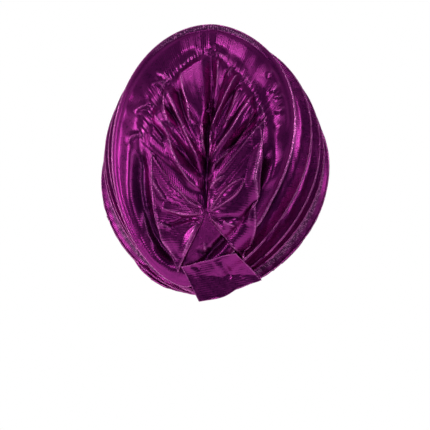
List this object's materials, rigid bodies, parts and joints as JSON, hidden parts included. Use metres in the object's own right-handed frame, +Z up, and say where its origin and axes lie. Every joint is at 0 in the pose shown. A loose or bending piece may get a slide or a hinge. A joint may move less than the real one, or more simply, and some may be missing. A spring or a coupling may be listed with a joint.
{
  "type": "pleated turban",
  "caption": "Ready-tied turban of shiny pleated cloth: gathered back panel with tied ends, standing side pleats, a front wrap and a band that grips the head.",
  "frame": {"origin": "middle of the head opening, half way between the forehead edge and the nape edge of the band", "axes": "+Z up, +Y towards the wearer's face, +X towards the wearer's right side as seen from the back"},
  "size_m": [0.247, 0.2348, 0.286],
  "materials": {
    "shiny_cloth": "metallic purple stretch cloth with fine ribs",
    "inner_cloth": "the same cloth, darker at the head band",
    "ribbed_rim": "purple cloth over a ribbed edge"
  },
  "bodies": {
    "root": {"crown": "shiny_cloth", "pleat_1": "shiny_cloth", "pleat_2": "shiny_cloth", "pleat_3": "shiny_cloth", "rim": "ribbed_rim", "front_wrap": "shiny_cloth", "front_band": "inner_cloth", "left_wing": "shiny_cloth", "right_wing": "shiny_cloth", "nape_tab": "shiny_cloth"}
  },
  "joints": []
}
